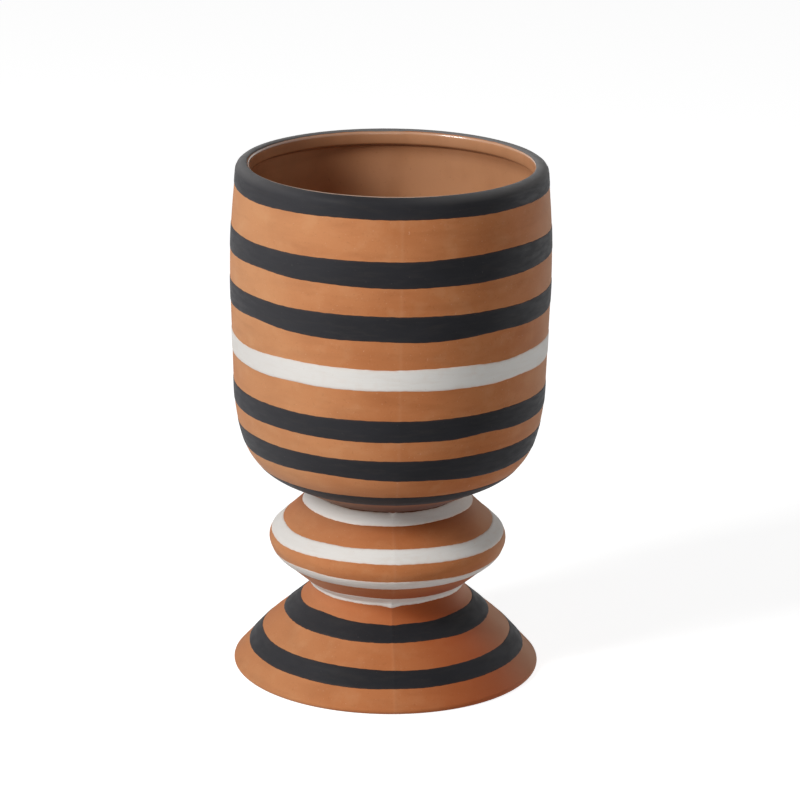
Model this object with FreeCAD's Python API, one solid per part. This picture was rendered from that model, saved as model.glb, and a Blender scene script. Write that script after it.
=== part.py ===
"""Footed planter: a cylindrical bowl on a pulley-shaped knop and a conical foot, banded with dark and white slip.

The clay body is three thin-walled sections, each a turned outline: bowl, knop and foot. They stand on each
other, face to face, at two sharp necks. Thin skins of coloured slip follow the outside, and a clear liner glaze
covers the inside of the bowl up to the lip.

Millimetres, +Z up, origin at the centre of the ring that the foot stands on.
"""
import FreeCAD
import Part

import math
import os

# Driving sizes
foot_height = 46.4
knop_height = 48.8
bowl_height = 174.8
bowl_radius = 82.5
upper_neck_radius = 38.6
knop_radius = 62.1
lower_neck_radius = 40.3
foot_radius = 80.2

# Clay thickness
bowl_wall = 4.6
floor_thickness = 6.0
knop_wall = 4.6
foot_wall = 5.5

# Lip of the bowl: a thick rolled edge that overhangs the wall inside
lip_height = 7.3
lip_overhang = 2.7
lip_undercut_drop = 1.2
lip_under_round = 1.0
lip_root_round = 1.2
rim_inner_round = 2.1
rim_outer_round = 4.4

# Bend radii of the outside, from the top down
belly_bend = 410.0
waist_bend = 98.0
heel_bend = 31.0
knop_upper_bend = 9.3
knop_lower_bend = 18.0
collar_bend = 10.0
flank_bend = 80.0
base_edge_round = 1.9
base_inner_round = 1.5
floor_bend = 16.0

# Corners of each outline, as shares of the section's widest radius and of its height
rim_corner_shares = (0.964, 1.0)
belly_corner_shares = (1.0075, 0.750)
waist_corner_shares = (0.973, 0.252)
heel_corner_shares = (0.878, 0.102)
knop_upper_corner_shares = (1.018, 0.520)
knop_lower_corner_shares = (0.971, 0.350)
flank_corner_shares = (0.797, 0.442)
base_corner_share = 1.029
collar_corner_shares = (1.012, 0.870)

# Coats on the clay
slip_coat = 0.3
glaze_coat = 0.3

# Where the rim's dark slip meets the liner glaze, as a share of the rim's inner rounding
glaze_edge_share = 0.45

# Slip bands, as shares of the way down each section's outside
bowl_band_shares = {
    "rim_band_dark": (0.0, 0.077),
    "shoulder_band_dark": (0.181, 0.246),
    "upper_belly_band_dark": (0.320, 0.383),
    "belly_band_white": (0.457, 0.515),
    "lower_belly_band_dark": (0.591, 0.648),
    "heel_band_dark": (0.700, 0.761),
    "under_band_dark": (0.824, 0.895),
}
knop_band_shares = {
    "knop_top_band_white": (0.004, 0.124),
    "knop_shoulder_band_white": (0.325, 0.453),
    "knop_under_band_white": (0.596, 0.709),
}
foot_band_shares = {
    "foot_upper_band_dark": (0.180, 0.360),
    "foot_lower_band_dark": (0.598, 0.762),
}
neck_band_knop_share = 0.92
neck_band_foot_share = 0.024

# Levels
lower_crease = foot_height
upper_crease = foot_height + knop_height
overall_height = foot_height + knop_height + bowl_height

# Two roundings on one leg may take this share of it together, and a shorter stretch than this share is left out
leg_share = 0.98
sliver_share = 1e-9

full_turn = 360


def at(radius, level):
    """A point of a turned outline, in the half plane that is turned about the Z axis."""
    return FreeCAD.Vector(radius, 0, level)


def left_of(direction):
    """The unit vector to the left of a direction in the half plane."""
    return FreeCAD.Vector(-direction.z, 0, direction.x)


class Straight:
    """A straight stretch of an outline."""

    def __init__(self, start, end):
        self.start = start
        self.along = (end - start).normalize()
        self.length = (end - start).Length

    def point(self, distance, lift):
        """The point this far along, lifted off the surface to its left."""
        return self.start + self.along * distance + left_of(self.along) * lift

    def edge(self, first, last, lift):
        return Part.LineSegment(self.point(first, lift), self.point(last, lift)).toShape()


class Bend:
    """A round stretch of an outline: an arc of one radius. Its turn is positive to the left."""

    def __init__(self, start, along, radius, turn):
        side = math.copysign(1, turn)
        self.centre = start + left_of(along) * (radius * side)
        self.spoke = start - self.centre
        self.radius = radius
        self.side = side
        self.length = radius * abs(turn)

    def point(self, distance, lift):
        """The point this far along the arc, lifted off the surface to its left."""
        angle = self.side * distance / self.radius
        spoke = FreeCAD.Vector(
            self.spoke.x * math.cos(angle) - self.spoke.z * math.sin(angle),
            0,
            self.spoke.x * math.sin(angle) + self.spoke.z * math.cos(angle),
        )
        return self.centre + spoke * ((self.radius - self.side * lift) / self.radius)

    def edge(self, first, last, lift):
        middle = (first + last) / 2
        return Part.Arc(self.point(first, lift), self.point(middle, lift), self.point(last, lift)).toShape()


def turn_at(before, corner, after):
    """The signed angle by which an outline turns at a corner, positive to the left."""
    arriving = corner - before
    leaving = after - corner
    across = arriving.x * leaving.z - arriving.z * leaving.x
    return math.atan2(across, arriving.dot(leaving))


class Outline:
    """A path through corners, each rounded to its bend radius, with the clay on its right.

    Its edges are split at the marks, so that a coat and the clay under it have the same faces between them.
    """

    def __init__(self, corners, bends):
        self.corners = corners
        self.stretches = []
        self.length = 0.0
        self.marks = []
        inner_corners = range(1, len(corners) - 1)
        turns = [0.0] + [turn_at(*corners[i - 1 : i + 2]) for i in inner_corners] + [0.0]
        takes = self.fit_legs([abs(bend * math.tan(turn / 2)) for bend, turn in zip(bends, turns)])
        self.spans = [(0.0, 0.0)]
        here = corners[0]
        for i in inner_corners:
            arriving = (corners[i] - corners[i - 1]).normalize()
            bend_start = corners[i] - arriving * takes[i]
            self.add(Straight(here, bend_start))
            here = bend_start
            reached = self.length
            if takes[i] > 0:
                bend = Bend(bend_start, arriving, takes[i] / abs(math.tan(turns[i] / 2)), turns[i])
                self.add(bend)
                here = bend.point(bend.length, 0)
            self.spans.append((reached, self.length))
        self.add(Straight(here, corners[-1]))
        self.spans.append((self.length, self.length))

    def add(self, stretch):
        self.stretches.append(stretch)
        self.length += stretch.length

    def fit_legs(self, takes):
        """Shortens two roundings that meet on one leg, so that both fit on it."""
        scales = [1.0] * len(takes)
        for i in range(len(takes) - 1):
            leg = (self.corners[i + 1] - self.corners[i]).Length * leg_share
            wanted = takes[i] + takes[i + 1]
            if wanted > leg:
                scales[i] = min(scales[i], leg / wanted)
                scales[i + 1] = min(scales[i + 1], leg / wanted)
        return [take * scale for take, scale in zip(takes, scales)]

    def distance_to(self, corner, share):
        """How far along the path this share of one corner's rounding lies."""
        start, end = self.spans[corner]
        return start + (end - start) * share

    def edges(self, first, last, lift):
        """The edges between two distances along the path, lifted off the surface."""
        made = []
        begun = 0.0
        for stretch in self.stretches:
            low = max(first, begun)
            high = min(last, begun + stretch.length)
            stops = [low] + sorted(mark for mark in self.marks if low < mark < high) + [high]
            for start, end in zip(stops, stops[1:]):
                if end - start > self.length * sliver_share:
                    made.append(stretch.edge(start - begun, end - begun, lift))
            begun += stretch.length
        return made

    def coat(self, first, last, thickness):
        """A skin of one thickness on the surface, turned about the Z axis."""
        inner = self.edges(first, last, 0)
        outer = self.edges(first, last, thickness)
        caps = [
            joined(inner[0].firstVertex(), outer[0].firstVertex()),
            joined(inner[-1].lastVertex(), outer[-1].lastVertex()),
        ]
        return turned(inner + outer + caps)


def joined(one, other):
    """A straight edge between two vertices."""
    return Part.LineSegment(one.Point, other.Point).toShape()


def turned(edges):
    """The solid that a closed set of edges makes when it is turned about the Z axis."""
    wire = Part.Wire(Part.__sortEdges__(edges))
    return Part.Face(wire).revolve(FreeCAD.Vector(0, 0, 0), FreeCAD.Vector(0, 0, 1), full_turn)


def crossing(start, direction, level):
    """Where a line reaches a level."""
    return start + direction * ((level - start.z) / direction.z)


def moved_in(corners, wall):
    """The corners of the parallel path inside the clay, with the first and last legs running on."""
    legs = [(corners[i + 1] - corners[i]).normalize() for i in range(len(corners) - 1)]
    made = [corners[0] - left_of(legs[0]) * wall]
    for i in range(1, len(corners) - 1):
        half_turn = turn_at(corners[i - 1], corners[i], corners[i + 1]) / 2
        bisector = (left_of(legs[i - 1]) + left_of(legs[i])).normalize()
        made.append(corners[i] - bisector * (wall / math.cos(half_turn)))
    made.append(corners[-1] - left_of(legs[-1]) * wall)
    return made


def moved_in_bends(corners, bends, wall):
    """The bend radii of the parallel path: less on an outward bend, more on an inward one."""
    made = []
    for i in range(1, len(corners) - 1):
        turn = turn_at(corners[i - 1], corners[i], corners[i + 1])
        made.append(max(bends[i] + math.copysign(wall, turn), 0.0))
    return [0.0] + made + [0.0]


def shares_of(shares, radius, bottom, height):
    """A corner from its shares of a section's radius and height."""
    return at(radius * shares[0], bottom + height * shares[1])


def wall_outline(corners, bends, wall, base_bends):
    """The outline of a section that is open above and below: down the outside and back up the inside."""
    inner = moved_in(corners, wall)
    inner_bends = moved_in_bends(corners, bends, wall)
    top = crossing(inner[0], inner[1] - inner[0], corners[0].z)
    bottom = crossing(inner[-1], inner[-1] - inner[-2], corners[-1].z)
    inner = [top] + inner[1:-1] + [bottom]
    return Outline(corners + inner[::-1], bends[:-1] + base_bends + inner_bends[-2::-1])


# Bowl: one outline from the middle of the floor, up the inside, over the lip and down the outside
rim_corner = shares_of(rim_corner_shares, bowl_radius, upper_crease, bowl_height)
bowl_outside = [
    rim_corner,
    shares_of(belly_corner_shares, bowl_radius, upper_crease, bowl_height),
    shares_of(waist_corner_shares, bowl_radius, upper_crease, bowl_height),
    shares_of(heel_corner_shares, bowl_radius, upper_crease, bowl_height),
    at(upper_neck_radius, upper_crease),
]
bowl_outside_bends = [rim_outer_round, belly_bend, waist_bend, heel_bend, 0.0]
bowl_inside = moved_in(bowl_outside, bowl_wall)
bowl_inside_bends = moved_in_bends(bowl_outside, bowl_outside_bends, bowl_wall)
floor_level = upper_crease + floor_thickness
floor_corner = crossing(bowl_inside[-1], bowl_inside[-1] - bowl_inside[-2], floor_level)
lip_root = crossing(bowl_inside[0], bowl_inside[1] - bowl_inside[0], overall_height - lip_height - lip_undercut_drop)
lip_radius = lip_root.x - lip_overhang

bowl_corners = (
    [at(0, floor_level), floor_corner]
    + bowl_inside[-2:0:-1]
    + [lip_root, at(lip_radius, overall_height - lip_height), at(lip_radius, overall_height)]
    + bowl_outside
)
bowl_bends = (
    [0.0, floor_bend]
    + bowl_inside_bends[-2:0:-1]
    + [lip_root_round, lip_under_round, rim_inner_round]
    + bowl_outside_bends
)
lip_corner = len(bowl_corners) - len(bowl_outside) - 1
bowl_outline = Outline(bowl_corners, bowl_bends)

# Knop: the outside from the upper neck to the lower neck
knop_corners = [
    at(upper_neck_radius, upper_crease),
    shares_of(knop_upper_corner_shares, knop_radius, lower_crease, knop_height),
    shares_of(knop_lower_corner_shares, knop_radius, lower_crease, knop_height),
    at(lower_neck_radius, lower_crease),
]
knop_bends = [0.0, knop_upper_bend, knop_lower_bend, 0.0]
knop_outline = wall_outline(knop_corners, knop_bends, knop_wall, [0, 0])
knop_outside_length = knop_outline.distance_to(len(knop_corners) - 1, 1.0)

# Foot: a short collar under the neck, then a flank that steepens to the ring it stands on
base_corner = at(foot_radius * base_corner_share, 0)
foot_corners = [
    at(lower_neck_radius, lower_crease),
    shares_of(collar_corner_shares, lower_neck_radius, 0, foot_height),
    shares_of(flank_corner_shares, foot_radius, 0, foot_height),
    base_corner,
]
foot_bends = [0.0, collar_bend, flank_bend, 0.0]
foot_outline = wall_outline(foot_corners, foot_bends, foot_wall, [base_edge_round, base_inner_round])
foot_outside_length = foot_outline.distance_to(len(foot_corners) - 1, 1.0)


def make_bowl():
    outline = bowl_outline
    surface = outline.edges(0, outline.length, 0)
    under = Part.LineSegment(bowl_corners[-1], at(0, upper_crease)).toShape()
    axis = Part.LineSegment(at(0, upper_crease), bowl_corners[0]).toShape()
    return turned(surface + [under, axis])


def make_wall(outline):
    """A section between its outside and its inside, closed by the level land at its top."""
    land = Part.LineSegment(outline.corners[-1], outline.corners[0]).toShape()
    return turned(outline.edges(0, outline.length, 0) + [land])


def marked(outline, start, end, band_shares):
    """Marks both ends of each band on an outline, and gives them as distances along it."""
    way = end - start
    spans = {name: (start + way * first, start + way * last) for name, (first, last) in band_shares.items()}
    outline.marks += [distance for span in spans.values() for distance in span]
    return spans


def make_bands(outline, spans):
    """One skin of slip for each band."""
    return {name: outline.coat(first, last, slip_coat) for name, (first, last) in spans.items()}


def make_neck_band():
    """The white band in the lower neck, over the knop's last stretch and the foot's first one."""
    over_knop = knop_outline.coat(*neck_band_knop_span, slip_coat)
    over_foot = foot_outline.coat(*neck_band_foot_span, slip_coat)
    return over_knop.fuse(over_foot)


glaze_end = bowl_outline.distance_to(lip_corner, glaze_edge_share)
bowl_spans = marked(bowl_outline, glaze_end, bowl_outline.length, bowl_band_shares)
knop_spans = marked(knop_outline, 0, knop_outside_length, knop_band_shares)
foot_spans = marked(foot_outline, 0, foot_outside_length, foot_band_shares)
neck_band_knop_span = (knop_outside_length * neck_band_knop_share, knop_outside_length)
neck_band_foot_span = (0, foot_outside_length * neck_band_foot_share)
knop_outline.marks += neck_band_knop_span
foot_outline.marks += neck_band_foot_span

solids = {
    "bowl": make_bowl(),
    "knop": make_wall(knop_outline),
    "foot": make_wall(foot_outline),
    "liner_glaze": bowl_outline.coat(0, glaze_end, glaze_coat),
    "neck_band_white": make_neck_band(),
}
solids.update(make_bands(bowl_outline, bowl_spans))
solids.update(make_bands(knop_outline, knop_spans))
solids.update(make_bands(foot_outline, foot_spans))

os.makedirs("parts", exist_ok=True)
for name, solid in solids.items():
    solid.exportStep(f"parts/{name}.step")
    print(name, "valid" if solid.isValid() else "NOT VALID", len(solid.Solids), round(solid.Volume))
print("mouth radius", round(lip_radius, 2), "inner floor level", round(floor_level, 2))
print("flat floor radius", round(bowl_outline.stretches[0].length, 2))
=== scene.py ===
"""Footed planter of slip-cast terracotta, banded with brushed slip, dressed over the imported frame.

Lengths are millimetres until a mesh, a pattern, a lamp or the camera is made, and angles are typed in
degrees. Those round the pot are azimuths: zero faces the viewer, along -Y, and they grow towards +X.
"""
import math

import bpy
import numpy as np
from mathutils import Matrix, Vector


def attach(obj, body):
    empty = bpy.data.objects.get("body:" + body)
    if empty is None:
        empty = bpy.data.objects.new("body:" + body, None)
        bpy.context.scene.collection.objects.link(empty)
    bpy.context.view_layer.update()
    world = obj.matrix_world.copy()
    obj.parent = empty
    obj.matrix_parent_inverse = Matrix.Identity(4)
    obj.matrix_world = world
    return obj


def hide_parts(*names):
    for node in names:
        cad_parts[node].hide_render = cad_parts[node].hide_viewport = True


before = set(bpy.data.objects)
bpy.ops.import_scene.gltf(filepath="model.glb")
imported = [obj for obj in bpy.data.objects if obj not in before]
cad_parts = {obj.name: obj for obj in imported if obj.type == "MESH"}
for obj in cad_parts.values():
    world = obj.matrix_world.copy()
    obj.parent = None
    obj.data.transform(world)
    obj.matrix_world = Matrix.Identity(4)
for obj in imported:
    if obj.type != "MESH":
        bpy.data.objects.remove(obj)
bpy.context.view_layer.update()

metres = 0.001
full_turn = 2 * math.pi
half_turn = math.pi

# Sizes of the three sections, as in the part's source
foot_height = 46.4
knop_height = 48.8
bowl_height = 174.8
bowl_radius = 82.5
upper_neck_radius = 38.6
knop_radius = 62.1
lower_neck_radius = 40.3
foot_radius = 80.2
lower_crease = foot_height
upper_crease = foot_height + knop_height
overall_height = foot_height + knop_height + bowl_height

bowl_wall = 4.6
floor_thickness = 6.0
knop_wall = 4.6
foot_wall = 5.5

lip_height = 7.3
lip_overhang = 2.7
lip_undercut_drop = 1.2
lip_under_round = 1.0
lip_root_round = 1.2
rim_inner_round = 2.1
rim_outer_round = 4.4

belly_bend = 410.0
waist_bend = 98.0
heel_bend = 31.0
knop_upper_bend = 9.3
knop_lower_bend = 18.0
collar_bend = 10.0
flank_bend = 80.0
base_edge_round = 1.9
base_inner_round = 1.5
floor_bend = 16.0

# Corners of the outlines, as shares of a section's radius and height
rim_corner_shares = (0.964, 1.0)
belly_corner_shares = (1.0075, 0.750)
waist_corner_shares = (0.973, 0.252)
heel_corner_shares = (0.878, 0.102)
knop_upper_corner_shares = (1.018, 0.520)
knop_lower_corner_shares = (0.971, 0.350)
flank_corner_shares = (0.797, 0.442)
base_corner_share = 1.029
collar_corner_shares = (1.012, 0.870)

# How far round the rim's inner rounding the glaze ends, and the share that halves any rounding
glaze_edge_share = 0.45
halfway_share = 0.5

# An outline's limits: the radius of a sharp corner, the most of a leg that its roundings take, and a guard
# against dividing by zero
crisp_bend = 0.05
leg_share = 0.98
tiny = 1e-9

# Slip bands, as shares of the way down each section's outside
bowl_band_shares = {
    "rim_band_dark": (0.0, 0.077),
    "shoulder_band_dark": (0.181, 0.246),
    "upper_belly_band_dark": (0.320, 0.383),
    "belly_band_white": (0.457, 0.515),
    "lower_belly_band_dark": (0.591, 0.648),
    "heel_band_dark": (0.700, 0.761),
    "under_band_dark": (0.824, 0.895),
}
knop_band_shares = {
    "knop_top_band_white": (0.004, 0.124),
    "knop_shoulder_band_white": (0.325, 0.453),
    "knop_under_band_white": (0.596, 0.709),
}
foot_band_shares = {
    "foot_upper_band_dark": (0.180, 0.360),
    "foot_lower_band_dark": (0.598, 0.762),
}
neck_band_knop_share = 0.92
neck_band_foot_share = 0.024

# Where the brush strayed on an upper and a lower edge: azimuth, half width in degrees, and how far down
upper_strays = {
    "rim_band_dark": ((-15, 60, 2.8),),
    "shoulder_band_dark": ((52, 34, -1.3),),
    "upper_belly_band_dark": ((60, 25, 0.6),),
    "belly_band_white": ((-60, 15, 0.9), (45, 12, 1.0)),
    "knop_shoulder_band_white": ((-60, 25, 0.8), (60, 25, 0.8), (0, 20, -0.3)),
    "knop_under_band_white": ((-45, 16, -0.8), (45, 16, 1.1)),
    "neck_band_white": ((-15, 12, -0.9),),
    "foot_upper_band_dark": ((-45, 13, -0.8), (4, 6, 0.9), (55, 12, -0.5)),
    "foot_lower_band_dark": ((15, 14, 0.7), (-30, 15, -0.4)),
}
lower_strays = {
    "rim_band_dark": ((-50, 20, 0.5),),
    "shoulder_band_dark": ((-55, 14, -0.8), (68, 22, -1.1)),
    "upper_belly_band_dark": ((-55, 12, -1.0), (-25, 12, 0.5), (15, 12, 0.7), (45, 12, -0.8)),
    "belly_band_white": ((-35, 10, -0.5), (5, 10, -0.6), (55, 10, -0.6)),
    "lower_belly_band_dark": ((22, 8, 0.5), (38, 9, -1.0)),
    "heel_band_dark": ((-25, 20, -1.5), (45, 22, 1.5)),
    "knop_top_band_white": ((50, 30, -0.6),),
    "knop_shoulder_band_white": ((-60, 25, 0.8), (60, 25, 0.8), (0, 20, -0.3)),
    "neck_band_white": ((4, 5, 1.1),),
}

# Waves along a painted edge: how many go round the pot, how tall they are, and how that height varies
tremor_turns = np.array([2, 3, 5, 7, 11, 16])
tremor_sizes = np.array([0.20, 0.16, 0.12, 0.10, 0.07, 0.05])
ragged_turns = np.array([37, 53, 71, 97])
ragged_size = 0.035
least_wave = 0.5
most_wave = 1.1
brush_seed = 41

# The mould's seam: a low crest in front and its twin behind, from the half moulds' joint
seam_azimuths = np.radians([4, 184])
bowl_crest = 0.035
bowl_crest_width = 0.9
knop_crest = 0.11
knop_crest_width = 1.6
foot_crest = 0.15
foot_crest_width = 2.0
collar_crest = 0.50
collar_crest_width = 3.4
collar_crest_reach = 16.0
crease_crest = 0.9
crease_crest_width = 1.6
crease_crest_reach = 1.6
seam_mark_width = 0.9

# The length over which the seam and the painted neck shade fade out at the ends of a section's outside
share_fade = 3.0

# Slow unevenness of the cast wall: waves round the pot, their size, and how they turn with height
swell_turns = np.array([1, 2, 3, 5])
swell_sizes = np.array([0.10, 0.14, 0.05, 0.03])
swell_drifts = np.array([0.012, 0.007, 0.021, 0.034])
swell_fade_radius = 30.0
swell_seed = 7

# Painted light: the lamp's side on the left painted in, weaker below the bowl, and a painted highlight at
# the right edge
lit_side_azimuth = -58
lit_side_half_width = 46
lit_side_rise = 18.0
lit_side_low_share = 0.7
rim_highlight_azimuth = 90
rim_highlight_half_width = 26

# Painted shade: a deeper red low on the shaded right and round the necks, and darker shade in the necks
shade_side_azimuth = 50
shade_side_half_width = 38
shade_side_level = 40.0
shade_side_fade = 30.0
neck_shade = 0.7
neck_shade_reach = 10.0
crease_shade_rise = 3.0
crease_shade_reach = 9.0
low_crease_shade = 0.45
low_crease_shade_drop = 4.0

# Painted light: a pale highlight along the front of the mouth, and a grey reflection painted on the rim
# elsewhere
front_highlight_azimuth = -15
front_highlight_half_width = 60
front_highlight_width = 3.0

# Coats: how thick, how soon they thin out at an edge, and how far their undersides lie inside the clay
slip_coat = 0.2
slip_edge_width = 0.3
slip_sink = 0.08
glaze_coat = 0.2
glaze_edge_width = 1.2
glaze_sink = 0.1

# The sliver of bare clay between the glaze and the slip on the rim
bare_gap = 0.05

# The radius at which the band over the lower crease bends into it
crease_bend = 1.0

# Pooled glaze round the floor, and painted shade under the lip and down the shaded side
lip_shade_drop = 2.0
lip_shade_reach = 4.0
pool_floor_reach = 9.0
shaded_side_azimuth = -115
shaded_side_half_width = 50
shaded_side_share = 0.8

# Meshes: columns round the pot, close ones to each side of a seam, and rows by length and by turn
clay_columns = 240
band_columns = 480
seam_fan = 3.6
seam_columns = 25
row_step = 2.6
row_turn = math.radians(7)
row_support = 0.5
row_samples = 9000
row_least_samples = 3
band_rows = 15

# Patterns: the levels that noise mostly keeps between, and shifts in metres that set layers of it apart
noise_low = 0.35
noise_high = 0.65
rough_detail = 2
rough_shift = 9
bump_shift = 5

# Edges of the slip, where clay shows through in small patches: patch size, squash, detail and shift
thin_patches = (3.5, 1.0, 2, 3)

# The studio: the floor's own glow, the light from all round, and half the floor's width
floor_glow = 0.86
world_fill = 0.10
floor_reach = 6000

# Lamps: azimuth and elevation in degrees, distance, width and height in millimetres, and power in watts
lamps = {
    "key": (-54, 32, 1700, 500, 600, 23.8),
    "front_fill": (8, 5, 1700, 800, 600, 3.6),
    "rim_light": (111, -1, 1600, 700, 240, 4.8),
}

# The camera: place, angles in degrees, and focal length and sensor width in millimetres
camera_place = (5.617, -1821.3, 699.2)
camera_pitch = 16.969
camera_roll = 0.842
camera_lens = 165.23
camera_sensor = 36.0


def linear(hex_code):
    """The linear colour of an sRGB hex code: each channel through the sRGB curve, with full opacity."""
    channels = np.array([int(hex_code[i : i + 2], 16) for i in (1, 3, 5)]) / 255
    curved = np.where(channels <= 0.04045, channels / 12.92, ((channels + 0.055) / 1.055) ** 2.4)
    return (*curved, 1.0)


def wrapped(angles):
    """Angles brought to within half a turn of zero."""
    return (angles + half_turn) % full_turn - half_turn


def eased(values):
    """A smooth step from zero to one, held at both ends: three times the square less twice the cube."""
    held = np.clip(values, 0, 1)
    return held * held * (3 - 2 * held)


def hump(values, middle, reach):
    """A bell curve, exp(-((value - middle) / reach) squared)."""
    return np.exp(-(((values - middle) / reach) ** 2))


def hump_round(azimuths, middle, half_width):
    """A bell curve round the pot, its middle and half width in degrees."""
    return hump(wrapped(azimuths - math.radians(middle)), 0, math.radians(half_width))


class Outline:
    """A turned outline through corners, each rounded to an arc, as stretches of one curvature each.

    A stretch starts at a point with a heading h0. After a distance s its heading is h = h0 + k s, and it
    has moved by (sin h - sin h0, cos h0 - cos h) / k, or straight ahead where k is zero. The clay is on the
    right, so the surface's outward normal is to the left.
    """

    def __init__(self, corners, bends):
        corners = np.array(corners, float)
        legs = np.diff(corners, axis=0)
        lengths = np.hypot(legs[:, 0], legs[:, 1])
        aims = legs / lengths[:, None]
        headings = np.unwrap(np.arctan2(legs[:, 1], legs[:, 0]))
        turns = np.diff(headings)
        slopes = np.abs(np.tan(turns / 2))
        takes = np.zeros(len(corners))
        takes[1:-1] = np.maximum(bends[1:-1], crisp_bend) * slopes
        fits = np.minimum(1, leg_share * lengths / (takes[:-1] + takes[1:] + tiny))
        takes *= np.minimum(np.append(fits, 1), np.insert(fits, 0, 1))
        arcs = takes[1:-1] / slopes * np.abs(turns)
        count = 2 * len(lengths) - 1
        spans = np.zeros(count)
        spans[0::2] = lengths - takes[:-1] - takes[1:]
        spans[1::2] = arcs
        self.curvatures = np.zeros(count)
        self.curvatures[1::2] = turns / arcs
        self.headings = np.repeat(headings, 2)[:-1]
        self.points = np.zeros((count, 2))
        self.points[0::2] = corners[:-1] + aims * takes[:-1, None]
        self.points[1::2] = corners[1:-1] - aims[:-1] * takes[1:-1, None]
        self.starts = np.insert(np.cumsum(spans), 0, 0)[:-1]
        self.length = spans.sum()

    def corner_way(self, corner, share):
        """How far along the outline this share of one corner's rounding lies."""
        stretch = 2 * corner - 1
        ends = np.append(self.starts, self.length)
        return ends[stretch] + (ends[stretch + 1] - ends[stretch]) * share

    def stretch_at(self, ways):
        """Which stretch each distance along the outline lies on."""
        return np.clip(np.searchsorted(self.starts, ways, "right") - 1, 0, len(self.starts) - 1)

    def at(self, ways):
        """Radius, level and heading at distances along the outline."""
        which = self.stretch_at(ways)
        along = ways - self.starts[which]
        begun = self.headings[which]
        bend = self.curvatures[which]
        heading = begun + bend * along
        curved = np.where(bend == 0, 1, bend)
        out = np.where(bend == 0, np.cos(begun) * along, (np.sin(heading) - np.sin(begun)) / curved)
        up = np.where(bend == 0, np.sin(begun) * along, (np.cos(begun) - np.cos(heading)) / curved)
        return self.points[which, 0] + out, self.points[which, 1] + up, heading

    def rows(self, first, last):
        """Distances for the rows of a mesh: a row each step, and more where the outline turns."""
        ways = np.linspace(first, last, row_samples)
        step = ways[1] - ways[0]
        reach = max(row_least_samples, int(row_support / step))
        window = np.ones(2 * reach + 1) / (2 * reach + 1)
        bend = np.convolve(np.abs(self.curvatures[self.stretch_at(ways)]), window, "same")
        need = np.cumsum(1 / row_step + bend / row_turn) * step
        need -= need[0]
        return np.interp(np.linspace(0, need[-1], int(need[-1]) + 2), need, ways)


def shares_of(shares, radius, bottom, height):
    """A corner from its shares of a section's radius and height."""
    return np.array([radius * shares[0], bottom + height * shares[1]])


def leg_turns(corners):
    """The unit vector of each leg, and the signed turn at each inner corner."""
    legs = np.diff(corners, axis=0)
    aims = legs / np.hypot(legs[:, 0], legs[:, 1])[:, None]
    return aims, wrapped(np.diff(np.arctan2(legs[:, 1], legs[:, 0])))


def left_of(aims):
    """The unit vectors to the left."""
    return np.stack([-aims[..., 1], aims[..., 0]], axis=-1)


def moved_in(corners, wall):
    """The corners of the parallel outline inside the clay: each corner moves along its bisector."""
    corners = np.array(corners)
    aims, turns = leg_turns(corners)
    sides = left_of(aims)
    bisectors = sides[:-1] + sides[1:]
    bisectors /= np.hypot(bisectors[:, 0], bisectors[:, 1])[:, None]
    made = corners.copy()
    made[0] -= sides[0] * wall
    made[1:-1] -= bisectors * (wall / np.cos(turns / 2))[:, None]
    made[-1] -= sides[-1] * wall
    return made


def moved_in_bends(corners, bends, wall):
    """The bend radii of the parallel outline: less on an outward bend, more on an inward one."""
    turns = leg_turns(np.array(corners))[1]
    inner = np.maximum(np.array(bends[1:-1]) + np.copysign(wall, turns), 0)
    return [0.0, *inner, 0.0]


def crossing(start, end, level):
    """Where the line through two points reaches a level."""
    return start + (end - start) * ((level - start[1]) / (end[1] - start[1]))


def wall_outline(corners, bends, wall, base_bends):
    """A closed outline of an open section: down the outside, up the inside, and over the land on top."""
    inner = moved_in(corners, wall)
    inner_bends = moved_in_bends(corners, bends, wall)
    inner[0] = crossing(inner[0], inner[1], corners[0][1])
    inner[-1] = crossing(inner[-1], inner[-2], corners[-1][1])
    made_corners = [*corners, *inner[::-1], corners[0]]
    return Outline(made_corners, [*bends[:-1], *base_bends, *inner_bends[-2::-1], 0.0])


def bowl_outline():
    """From the middle of the floor up the inside, over the lip, down the outside and in to the axis."""
    outside = [
        shares_of(rim_corner_shares, bowl_radius, upper_crease, bowl_height),
        shares_of(belly_corner_shares, bowl_radius, upper_crease, bowl_height),
        shares_of(waist_corner_shares, bowl_radius, upper_crease, bowl_height),
        shares_of(heel_corner_shares, bowl_radius, upper_crease, bowl_height),
        np.array([upper_neck_radius, upper_crease]),
    ]
    outside_bends = [rim_outer_round, belly_bend, waist_bend, heel_bend, 0.0]
    inside = moved_in(outside, bowl_wall)
    inside_bends = moved_in_bends(outside, outside_bends, bowl_wall)
    floor_level = upper_crease + floor_thickness
    floor_corner = crossing(inside[-1], inside[-2], floor_level)
    lip_root = crossing(inside[0], inside[1], overall_height - lip_height - lip_undercut_drop)
    lip_radius = lip_root[0] - lip_overhang
    corners = [
        (0, floor_level),
        floor_corner,
        *inside[-2:0:-1],
        lip_root,
        (lip_radius, overall_height - lip_height),
        (lip_radius, overall_height),
        *outside,
        (0, upper_crease),
    ]
    bends = [0.0, floor_bend, *inside_bends[-2:0:-1], lip_root_round, lip_under_round, rim_inner_round]
    made = Outline(corners, [*bends, *outside_bends, 0.0])
    rim_corner = len(corners) - len(outside) - 1
    glaze_end = made.corner_way(rim_corner - 1, glaze_edge_share)
    outside_end = made.corner_way(len(corners) - 2, 0)
    return made, glaze_end, outside_end


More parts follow.
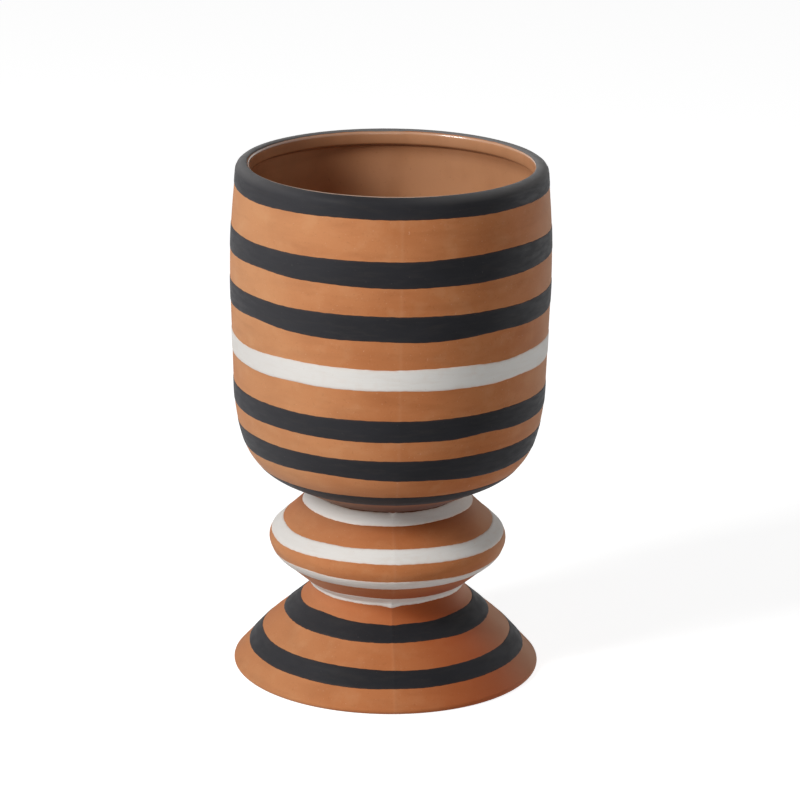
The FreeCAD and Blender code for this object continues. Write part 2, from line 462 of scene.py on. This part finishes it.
# The outlines of the three sections, and where the outside of each ends
knop_corners = [
    np.array([upper_neck_radius, upper_crease]),
    shares_of(knop_upper_corner_shares, knop_radius, lower_crease, knop_height),
    shares_of(knop_lower_corner_shares, knop_radius, lower_crease, knop_height),
    np.array([lower_neck_radius, lower_crease]),
]
knop_bends = [0.0, knop_upper_bend, knop_lower_bend, 0.0]
foot_corners = [
    np.array([lower_neck_radius, lower_crease]),
    shares_of(collar_corner_shares, lower_neck_radius, 0, foot_height),
    shares_of(flank_corner_shares, foot_radius, 0, foot_height),
    np.array([foot_radius * base_corner_share, 0]),
]
foot_bends = [0.0, collar_bend, flank_bend, 0.0]

bowl, glaze_end, bowl_outside_end = bowl_outline()
knop = wall_outline(knop_corners, knop_bends, knop_wall, [0.0, 0.0])
foot = wall_outline(foot_corners, foot_bends, foot_wall, [base_edge_round, base_inner_round])
knop_outside_end = knop.corner_way(len(knop_corners) - 1, halfway_share)
foot_outside_end = foot.corner_way(len(foot_corners) - 1, 1)

# The knop's and the foot's outsides as one outline, for the band that lies over their crease
stem = Outline([*knop_corners, *foot_corners[1:]], [*knop_bends[:-1], crease_bend, *foot_bends[1:]])
stem_crease = stem.corner_way(len(knop_corners) - 1, halfway_share)

swell_draws = np.random.default_rng(swell_seed)
swell_phases = swell_draws.uniform(0, full_turn, len(swell_turns))


def swell(radius, level, azimuths):
    """How far the cast wall strays sideways: waves round the pot whose phase drifts with height.

    They fade out towards the axis.
    """
    shape = (len(swell_turns),) + (1,) * np.ndim(radius + azimuths)
    turns, sizes, drifts, phases = (
        each.reshape(shape) for each in (swell_turns, swell_sizes, swell_drifts, swell_phases)
    )
    waves = sizes * np.cos(turns * azimuths + drifts * level + phases)
    return waves.sum(axis=0) * eased(radius / swell_fade_radius)


def seam_distance(radius, azimuths):
    """The distance round the pot to the nearer seam, in millimetres."""
    apart = np.abs(wrapped(azimuths[..., None] - seam_azimuths)).min(axis=-1)
    return apart * radius


def seam_crest(radius, level, azimuths):
    """How far the seam stands off the wall: a crest that falls off with distance d as exp(-d / width).

    It is narrow on the bowl, broader below and broadest on the collar, and it carries a bead of clay where
    it crosses each crease.
    """
    apart = seam_distance(radius, azimuths)
    on_bowl = eased((level - upper_crease) / crease_crest_reach)
    on_foot = eased((lower_crease - level) / crease_crest_reach)
    on_knop = 1 - on_bowl - on_foot
    collar = hump(level, lower_crease, collar_crest_reach) * on_foot
    crest = on_bowl * bowl_crest * np.exp(-apart / bowl_crest_width)
    crest = crest + on_knop * knop_crest * np.exp(-apart / knop_crest_width)
    crest = crest + on_foot * foot_crest * np.exp(-apart / foot_crest_width)
    crest = crest + collar * collar_crest * np.exp(-apart / collar_crest_width)
    for crease in (upper_crease, lower_crease):
        near = hump(level, crease, crease_crest_reach)
        crest = crest + near * crease_crest * hump(apart, 0, crease_crest_width)
    return crest


def round_the_pot(columns):
    """Azimuths once round the pot at even steps, with a fan of close ones across each seam."""
    even = np.arange(columns) * full_turn / columns - half_turn
    fan = np.radians(np.linspace(-seam_fan, seam_fan, seam_columns))
    clear = np.abs(wrapped(even[:, None] - seam_azimuths)).min(axis=1) > np.radians(seam_fan)
    return np.sort(np.concatenate([even[clear], *(wrapped(seam + fan) for seam in seam_azimuths)]))


def turned(outline, ways, lifts, azimuths, crest_share):
    """Points on a turned surface.

    The outline's point at each distance moves along its outward normal by the lift and the seam's crest,
    out from the axis by the swell, and round to its azimuth.
    """
    radius, level, heading = outline.at(ways + 0 * azimuths)
    off = lifts + crest_share * seam_crest(radius, level, azimuths)
    out = radius - np.sin(heading) * off + swell(radius, level, azimuths)
    up = level + np.cos(heading) * off
    return np.stack([out * np.sin(azimuths), -out * np.cos(azimuths), up], axis=-1)


def add_piece(name, points, looped, values, material, node):
    """A piece from a grid of points whose columns go round the pot.

    Each cell is one face. The rows close into a loop, or each end closes in a fan of triangles on the
    axis. The values are one attribute per name over the grid.
    """
    rows, columns = points.shape[:2]
    index = np.arange(rows * columns).reshape(rows, columns)
    below = np.roll(index, -1, axis=0) if looped else index[1:]
    here = index if looped else index[:-1]
    quads = np.stack([here, below, np.roll(below, -1, axis=1), np.roll(here, -1, axis=1)], axis=-1)
    faces = quads.reshape(-1, 4).tolist()
    corners = points.reshape(-1, 3)
    if not looped:
        poles = points[[0, -1]].mean(axis=1) * (0, 0, 1)
        first = np.full(columns, rows * columns)
        top = np.stack([first, index[0], np.roll(index[0], -1)], axis=-1)
        end = np.stack([index[-1], first + 1, np.roll(index[-1], -1)], axis=-1)
        faces += top.tolist() + end.tolist()
        corners = np.concatenate([corners, poles])
    mesh = bpy.data.meshes.new(name)
    mesh.from_pydata((corners * metres).tolist(), [], faces)
    mesh.polygons.foreach_set("use_smooth", np.ones(len(faces), bool))
    for label, value in values.items():
        flat = np.broadcast_to(value, (rows, columns)).ravel()
        flat = np.append(flat, np.zeros(len(corners) - len(flat)))
        mesh.attributes.new(label, "FLOAT", "POINT").data.foreach_set("value", flat.astype(np.float32))
    mesh.materials.append(material)
    piece = bpy.data.objects.new(name, mesh)
    bpy.context.scene.collection.objects.link(piece)
    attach(piece, "root")
    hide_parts(node)
    return piece


def lit_side_share(level, azimuths):
    """How much painted lit-side tone each point takes: on the lamp's side, and more on the bowl."""
    rise = eased((level - upper_crease) / lit_side_rise)
    share = lit_side_low_share + (1 - lit_side_low_share) * rise
    return hump_round(azimuths, lit_side_azimuth, lit_side_half_width) * share


def deep_shade_share(level, azimuths):
    """How much painted shade, a deeper red, each point takes: low down on the shaded side, and round both
    necks.
    """
    low = 1 - eased((level - shade_side_level) / shade_side_fade)
    necks = hump(level, upper_crease, neck_shade_reach) + hump(level, lower_crease, neck_shade_reach)
    side = hump_round(azimuths, shade_side_azimuth, shade_side_half_width)
    return np.clip(low * side + neck_shade * necks, 0, 1)


def crease_shade_share(level, azimuths):
    """How much painted shade each point takes: round the upper neck, and below the lower one on the shaded
    side.
    """
    upper = hump(level, upper_crease + crease_shade_rise, crease_shade_reach)
    lower = hump(level, lower_crease - low_crease_shade_drop, crease_shade_reach)
    return upper + low_crease_shade * lower * hump_round(azimuths, shade_side_azimuth, shade_side_half_width)


def front_highlight_share(azimuths):
    """One in the middle of the mouth's front, where the highlight is painted, and less to the sides."""
    return hump_round(azimuths, front_highlight_azimuth, front_highlight_half_width)


def add_clay(name, outline, outside, looped, material, node):
    """One section of the clay body: its whole outline turned.

    The seam and the painted neck shade fade in past the outside's first end and out past its last, by the
    share.
    The painted highlight line lies along the first end.
    """
    azimuths = round_the_pot(clay_columns)
    ways = outline.rows(0, outline.length)[:, None]
    ways = ways[:-1] if looped else ways[1:-1]
    start, end = outside
    share = eased((ways - start) / share_fade - 1) * eased((end - ways) / share_fade + 1)
    points = turned(outline, ways, 0, azimuths, share)
    radius, level, _ = outline.at(ways + 0 * azimuths)
    values = {
        "seam": share * hump(seam_distance(radius, azimuths), 0, seam_mark_width),
        "painted_deep_shade": deep_shade_share(level, azimuths),
        "painted_crease_shade": crease_shade_share(level, azimuths) * share,
        "painted_lit_side": lit_side_share(level, azimuths),
        "painted_rim_highlight": hump_round(azimuths, rim_highlight_azimuth, rim_highlight_half_width),
        "painted_front_highlight": hump(ways, start, front_highlight_width) * front_highlight_share(azimuths),
    }
    return add_piece(name, points, looped, values, material, node)


def painted_edge(way, strays, azimuths, hand):
    """The distance along the outline of one painted edge, for each azimuth.

    Each stray is a bell curve round the pot. Slow waves stand for the hand's tremor, and quick small ones
    for the ragged edge of the slip.
    """
    line = np.full_like(azimuths, way)
    for azimuth, half_width, down in strays:
        line += down * hump_round(azimuths, azimuth, half_width)
    for turns, sizes in ((tremor_turns, tremor_sizes), (ragged_turns, ragged_size)):
        phases = hand.uniform(0, full_turn, len(turns))
        scale = sizes * hand.uniform(least_wave, most_wave, len(turns))
        line += (scale[:, None] * np.cos(turns[:, None] * azimuths + phases[:, None])).sum(axis=0)
    return line


def add_band(name, outline, first, last, material, hand):
    """A closed skin of slip between two painted edges.

    Across the band its thickness is t (1 - exp(-d / w)), with d the distance to the nearer edge, and its
    underside lies just inside the clay. The inset is the same d, from which the slip hides the clay. The
    rows crowd towards both edges, as (1 - cos a) / 2 does.
    """
    azimuths = round_the_pot(band_columns)
    top = painted_edge(first, upper_strays.get(name, ()), azimuths, hand)
    bottom = painted_edge(last, lower_strays.get(name, ()), azimuths, hand)
    across = ((1 - np.cos(np.linspace(0, half_turn, band_rows))) / 2)[:, None]
    ways = top + (bottom - top) * across
    inset = np.minimum(across, 1 - across) * (bottom - top)
    coat = slip_coat * (1 - np.exp(-inset / slip_edge_width))
    outer = turned(outline, ways, coat, azimuths, 1)
    inner = turned(outline, ways[::-1], -slip_sink, azimuths, 1)
    points = np.concatenate([outer, inner])
    level = points[..., 2]
    # The rim's crest gets a painted grey reflection, except at the front
    crest = eased((level - overall_height) / rim_outer_round + 1)
    values = {
        "inset": np.concatenate([inset, inset[::-1]]),
        "painted_lit_side": lit_side_share(level, azimuths),
        "painted_crease_shade": crease_shade_share(level, azimuths),
        "painted_crest_reflection": crest * (1 - front_highlight_share(azimuths)),
    }
    return add_piece(name + "_slip", points, True, values, material, name)


def add_glaze(material):
    """The clear liner: a skin over the floor and the inside of the wall, up over part of the rim.

    It thins out at its edge as a band does. The pool and shade mark is where it ran thick on the floor,
    and painted shade under the lip and down the shaded side.
    """
    azimuths = round_the_pot(clay_columns)
    edge = glaze_end - bare_gap
    ways = bowl.rows(0, edge)[1:, None]
    coat = glaze_coat * (1 - np.exp(-(edge - ways) / glaze_edge_width))
    outer = turned(bowl, ways, coat, azimuths, 0)
    inner = turned(bowl, ways[::-1], -glaze_sink, azimuths, 0)
    points = np.concatenate([outer, inner])
    level = points[..., 2]
    under_lip = hump(level, overall_height - lip_height - lip_shade_drop, lip_shade_reach)
    on_floor = hump(level, upper_crease + floor_thickness, pool_floor_reach)
    on_shaded_side = shaded_side_share * hump_round(azimuths, shaded_side_azimuth, shaded_side_half_width)
    values = {"pool_and_shade": under_lip + on_floor + on_shaded_side}
    return add_piece("liner_glaze_skin", points, False, values, material, "liner_glaze")


def add(tree, kind, inputs, **settings):
    """Adds one node with its settings, and gives each named input a value or the output that feeds it."""
    made = tree.nodes.new("ShaderNode" + kind)
    for name, value in settings.items():
        setattr(made, name, value)
    for name, value in inputs.items():
        if isinstance(value, bpy.types.NodeSocket):
            tree.links.new(value, made.inputs[name])
        else:
            made.inputs[name].default_value = value
    return made


def blended(tree, share, colour, tint):
    """A colour with a share of a tint mixed in."""
    return add(tree, "Mix", {0: share, 6: colour, 7: linear(tint)}, data_type="RGBA").outputs[2]


def noise_of(tree, place, size, squash, detail, shift):
    """Noise whose patches are one size round the pot, in millimetres, and squashed in height."""
    spot = add(tree, "Mapping", {"Vector": place, "Scale": (1, 1, squash), "Location": (shift, 0, 0)})
    inputs = {"Vector": spot.outputs[0], "Scale": 1 / (size * metres), "Detail": detail}
    return add(tree, "TexNoise", inputs).outputs[0]


def stained(tree, place, body, stains):
    """Lays stains on a body colour, each a noise that mixes in its own tint.

    A stain is its patch size in millimetres, squash and detail, the two noise levels at which it starts
    and is full, its strength and its tint.
    """
    colour = linear(body)
    for shift, (size, squash, detail, low, high, strength, tint) in enumerate(stains):
        noise = noise_of(tree, place, size, squash, detail, shift)
        amount = {"Value": noise, "From Min": low, "From Max": high, "To Max": strength}
        colour = blended(tree, add(tree, "MapRange", amount).outputs[0], colour, tint)
    return colour


def tinted(tree, colour, marks):
    """Mixes in tints, each by the piece's attribute of that name times the mark's strength."""
    for mark, strength, tint in marks:
        amount = add(tree, "Attribute", {}, attribute_name=mark).outputs["Fac"]
        share = add(tree, "Math", {0: amount, 1: strength}, operation="MULTIPLY").outputs[0]
        colour = blended(tree, share, colour, tint)
    return colour


def rough(tree, place, low, high, size, squash):
    """A roughness that wanders between two values over patches of one size in millimetres."""
    noise = noise_of(tree, place, size, squash, rough_detail, rough_shift)
    span = {"Value": noise, "From Min": noise_low, "From Max": noise_high, "To Min": low, "To Max": high}
    return add(tree, "MapRange", span).outputs[0]


def bumped(tree, place, bumps):
    """A normal from layers of noise: each bump's patch size, squash, detail and height in millimetres."""
    normal = None
    for shift, (size, squash, detail, height) in enumerate(bumps):
        noise = noise_of(tree, place, size, squash, detail, bump_shift + shift)
        inputs = {"Height": noise, "Distance": height * metres, "Strength": 1.0}
        if normal:
            inputs["Normal"] = normal
        normal = add(tree, "Bump", inputs).outputs[0]
    return normal


def started(name):
    """A new material's node tree, and the place on the object that its patterns follow."""
    material = bpy.data.materials.new(name)
    material.use_nodes = True
    material.node_tree.nodes.clear()
    return material, material.node_tree, add(material.node_tree, "TexCoord", {}).outputs["Object"]


def surfaced(tree, inputs):
    """Joins a principled surface to the material's output."""
    shader = add(tree, "BsdfPrincipled", inputs)
    add(tree, "OutputMaterial", {"Surface": shader.outputs[0]})


def bisque_terracotta():
    """Slip-cast terracotta, fired once and left bare: dry and matte, with soft clouds from the mould.

    The iron-red body has paler and darker smears, and the seam that the knife scraped is a little paler.
    The grain is drawn near one millimetre, coarser than the real one, so that it shows.
    """
    stains = (
        (70, 1.0, 2, 0.38, 0.68, 0.50, "#CE8B5B"),
        (34, 1.6, 3, 0.48, 0.70, 0.55, "#B26535"),
        (11, 1.2, 4, 0.50, 0.72, 0.32, "#D09568"),
        (26, 5.0, 3, 0.50, 0.70, 0.30, "#A55F35"),
        (1.3, 1.0, 2, 0.62, 0.78, 0.35, "#99582F"),
        (0.9, 1.0, 1, 0.70, 0.82, 0.45, "#E0B594"),
    )
    marks = (
        ("seam", 0.13, "#D39C74"),
        # Painted shade: a deeper red low on the shaded side and round the necks
        ("painted_deep_shade", 0.85, "#AE5226"),
        # Painted shade in the necks
        ("painted_crease_shade", 0.90, "#4A1D03"),
        # Painted light: the lamp's side painted paler
        ("painted_lit_side", 0.27, "#C2A984"),
        # Painted highlight down the right edge, standing in for a rim light
        ("painted_rim_highlight", 0.50, "#E0BCA2"),
        # Painted highlight along the front of the mouth's edge
        ("painted_front_highlight", 0.9, "#E6D6C4"),
    )
    roughness = (0.66, 0.80, 18, 1.0)
    bumps = ((0.8, 1.0, 2, 0.035), (7, 2.5, 3, 0.09), (38, 1.0, 1, 0.25))
    material, tree, place = started("bisque_terracotta")
    surfaced(tree, {
        "Base Color": tinted(tree, stained(tree, place, "#C17646", stains), marks),
        "Roughness": rough(tree, place, *roughness),
        "Specular IOR Level": 0.08,
        "Sheen Weight": 0.10,
        "Sheen Roughness": 0.50,
        "Normal": bumped(tree, place, bumps),
    })
    return material


def brushed_slip(name, body, stains, marks, thin_tint, thin_width, roughness, gloss):
    """Coloured slip laid on by brush as the pot turns: dry and even, with faint streaks round the pot.

    Near its edges the slip is thin and the clay's tint comes through in patches, by exp(-inset / width).
    """
    bumps = ((0.9, 1.0, 2, 0.03), (14, 18.0, 2, 0.06), (30, 1.5, 1, 0.18))
    material, tree, place = started(name)
    inset = add(tree, "Attribute", {}, attribute_name="inset").outputs["Fac"]
    scaled = add(tree, "Math", {0: inset, 1: -1 / thin_width}, operation="MULTIPLY").outputs[0]
    thin = add(tree, "Math", {0: scaled}, operation="EXPONENT").outputs[0]
    patchy = noise_of(tree, place, *thin_patches)
    share = add(tree, "Math", {0: thin, 1: patchy}, operation="MULTIPLY").outputs[0]
    colour = blended(tree, share, stained(tree, place, body, stains), thin_tint)
    surfaced(tree, {
        "Base Color": tinted(tree, colour, marks),
        "Roughness": rough(tree, place, *roughness),
        "Specular IOR Level": gloss,
        "Sheen Weight": 0.05,
        "Sheen Roughness": 0.45,
        "Normal": bumped(tree, place, bumps),
    })
    return material


def dark_slip():
    """Black slip stained with iron and manganese: charcoal, bluish where thick, brownish where thin."""
    look = {
        "body": "#222225",
        "stains": (
            (40, 1.5, 2, 0.40, 0.70, 0.50, "#2C2C30"),
            (12, 6.0, 3, 0.50, 0.72, 0.40, "#33302F"),
            (5, 1.0, 3, 0.55, 0.75, 0.30, "#222224"),
            (1.1, 1.0, 1, 0.74, 0.84, 0.30, "#6A625C"),
        ),
        # Marks: a painted grey reflection on the rim's crest, the lamp's side painted paler, painted shade
        # in the necks
        "marks": (("painted_crest_reflection", 0.8, "#868483"), ("painted_lit_side", 0.30, "#4E4D50"), ("painted_crease_shade", 0.55, "#0E0A08")),
        "thin_tint": "#5A3F30",
        "thin_width": 0.35,
        "roughness": (0.54, 0.66, 9, 4.0),
        "gloss": 0.08,
    }
    return brushed_slip("dark_iron_slip", **look)


def white_slip():
    """White ball-clay slip: chalky, with warmer places where it went on thin."""
    look = {
        "body": "#F0EDE8",
        "stains": (
            (34, 1.5, 2, 0.40, 0.70, 0.40, "#F4F2EE"),
            (13, 7.0, 3, 0.48, 0.72, 0.40, "#E8E0D7"),
            (6, 1.2, 3, 0.56, 0.76, 0.25, "#E4D0C1"),
            (1.2, 1.0, 1, 0.72, 0.84, 0.30, "#B69F8C"),
        ),
        # Marks: the lamp's side painted darker, and a trace of painted shade in the necks
        "marks": (("painted_lit_side", 0.60, "#C2BEBA"), ("painted_crease_shade", 0.04, "#3A1A08")),
        "thin_tint": "#CF9B78",
        "thin_width": 0.55,
        "roughness": (0.62, 0.74, 9, 4.0),
        "gloss": 0.20,
    }
    return brushed_slip("white_ball_clay_slip", **look)


def liner_glaze():
    """Clear gloss glaze over the terracotta inside.

    It looks wet and deepens the clay's colour, most where it pooled on the floor; under the lip and down
    the shaded side the darker tint is painted shade.
    """
    stains = (
        (46, 1.0, 2, 0.38, 0.68, 0.50, "#CB9570"),
        (18, 0.5, 3, 0.50, 0.74, 0.30, "#A36D47"),
        (1.2, 1.0, 1, 0.70, 0.82, 0.35, "#7C4526"),
    )
    pool_and_shade_strength = 0.50
    roughness = (0.30, 0.42, 20, 1.0)
    bumps = ((6, 1.0, 2, 0.05), (30, 1.0, 1, 0.35))
    material, tree, place = started("clear_gloss_liner_glaze")
    colour = stained(tree, place, "#C68F66", stains)
    pool_and_shade = add(tree, "Attribute", {}, attribute_name="pool_and_shade").outputs["Fac"]
    share = add(tree, "MapRange", {"Value": pool_and_shade, "To Max": pool_and_shade_strength}).outputs[0]
    surfaced(tree, {
        # The tint is pooled glaze on the floor, and painted shade under the lip and down the shaded side
        "Base Color": blended(tree, share, colour, "#6E3D20"),
        "Roughness": rough(tree, place, *roughness),
        "Specular IOR Level": 0.5,
        "Coat Weight": 1.0,
        "Coat Roughness": 0.15,
        "Coat IOR": 1.5,
        "Normal": bumped(tree, place, bumps),
    })
    return material


def seen_directly(tree):
    """One for what the camera, a reflection or a clear body sees directly, zero for falling light."""
    rays = add(tree, "LightPath", {}).outputs
    inputs = {0: rays["Is Camera Ray"], 1: rays["Is Glossy Ray"]}
    seen = add(tree, "Math", inputs, operation="MAXIMUM").outputs[0]
    inputs = {0: seen, 1: rays["Is Transmission Ray"]}
    return add(tree, "Math", inputs, operation="MAXIMUM").outputs[0]


def matte_floor():
    """Pale studio floor: white where the lamps reach it, with the pot's soft shadow.

    Onto the pot it throws only a grey floor's light, so that the pot's undersides stay deep.
    """
    material, tree, _ = started("pale_floor")
    thrown = add(tree, "BsdfDiffuse", {"Color": linear("#CECECE")})
    paint = add(tree, "BsdfDiffuse", {"Color": linear("#D2D2D2")})
    glow = add(tree, "Emission", {"Color": linear("#FFFFFF"), "Strength": floor_glow})
    lit = add(tree, "AddShader", {0: paint.outputs[0], 1: glow.outputs[0]})
    shown = add(tree, "MixShader", {0: seen_directly(tree), 1: thrown.outputs[0], 2: lit.outputs[0]})
    add(tree, "OutputMaterial", {"Surface": shown.outputs[0]})
    return material


def add_floor():
    """A level square far wider than the view."""
    half = floor_reach * metres
    corners = [(-half, -half, 0), (half, -half, 0), (half, half, 0), (-half, half, 0)]
    mesh = bpy.data.meshes.new("floor")
    mesh.from_pydata(corners, [], [(0, 1, 2, 3)])
    mesh.materials.append(matte_floor())
    floor = bpy.data.objects.new("floor", mesh)
    bpy.context.scene.collection.objects.link(floor)


def light_world():
    """White seen directly, and a soft grey light from all round."""
    world = bpy.data.worlds.new("studio")
    bpy.context.scene.world = world
    world.use_nodes = True
    tree = world.node_tree
    tree.nodes.clear()
    seen = add(tree, "Background", {"Color": linear("#FFFFFF"), "Strength": 1.0})
    fill = add(tree, "Background", {"Color": linear("#FFFFFF"), "Strength": world_fill})
    mixed = add(tree, "MixShader", {0: seen_directly(tree), 1: fill.outputs[0], 2: seen.outputs[0]})
    add(tree, "OutputWorld", {"Surface": mixed.outputs[0]})


def add_softbox(name, azimuth, elevation, distance, width, height, power):
    """A rectangular soft lamp that faces the middle of the pot from a bearing and a height."""
    around = math.radians(azimuth)
    above = math.radians(elevation)
    level = math.cos(above)
    way = Vector((math.sin(around) * level, -math.cos(around) * level, math.sin(above)))
    data = bpy.data.lights.new(name, "AREA")
    data.shape = "RECTANGLE"
    data.size = width * metres
    data.size_y = height * metres
    data.energy = power
    lamp = bpy.data.objects.new(name, data)
    lamp.location = (Vector((0, 0, overall_height / 2)) + way * distance) * metres
    lamp.rotation_mode = "QUATERNION"
    lamp.rotation_quaternion = (-way).to_track_quat("-Z", "Y")
    bpy.context.scene.collection.objects.link(lamp)


def add_camera():
    """The photograph's view: a long lens, a little above the rim, looking down and rolled slightly."""
    pitch = math.radians(camera_pitch)
    roll = math.radians(camera_roll)
    ahead = Vector((0, math.cos(pitch), -math.sin(pitch)))
    level_right = Vector((1, 0, 0))
    level_up = level_right.cross(ahead)
    right = level_right * math.cos(roll) + level_up * math.sin(roll)
    up = level_up * math.cos(roll) - level_right * math.sin(roll)
    data = bpy.data.cameras.new("camera")
    data.sensor_width = camera_sensor
    data.lens = camera_lens
    camera = bpy.data.objects.new("camera", data)
    turn = Matrix((right, up, -ahead)).transposed().to_4x4()
    camera.matrix_world = Matrix.Translation(Vector(camera_place) * metres) @ turn
    bpy.context.scene.collection.objects.link(camera)
    bpy.context.scene.camera = camera


def band_spans(start, end, shares):
    """Both ends of each band as distances along an outline."""
    return {
        name: (start + (end - start) * first, start + (end - start) * last)
        for name, (first, last) in shares.items()
    }


# The pot's pieces, then the studio
terracotta = bisque_terracotta()
slips = {"dark": dark_slip(), "white": white_slip()}
hand = np.random.default_rng(brush_seed)

# The knop's and the foot's outlines begin on the outside, so nothing fades in there
no_fade_in = -2 * share_fade
add_clay("bowl_clay", bowl, (glaze_end, bowl_outside_end), False, terracotta, "bowl")
add_clay("knop_clay", knop, (no_fade_in, knop_outside_end), True, terracotta, "knop")
add_clay("foot_clay", foot, (no_fade_in, foot_outside_end - share_fade), True, terracotta, "foot")
add_glaze(liner_glaze())

neck_span = (
    knop_outside_end * neck_band_knop_share,
    stem_crease + foot_outside_end * neck_band_foot_share,
)
outline_spans = (
    (bowl, band_spans(glaze_end, bowl_outside_end, bowl_band_shares)),
    (knop, band_spans(0, knop_outside_end, knop_band_shares)),
    (foot, band_spans(0, foot_outside_end, foot_band_shares)),
    (stem, {"neck_band_white": neck_span}),
)
for outline, spans in outline_spans:
    for name, (first, last) in spans.items():
        tone = name.rsplit("_", 1)[1]
        add_band(name, outline, first, last, slips[tone], hand)

add_floor()
light_world()
for name, values in lamps.items():
    add_softbox(name, *values)
add_camera()
bpy.context.scene.view_settings.view_transform = "Standard"
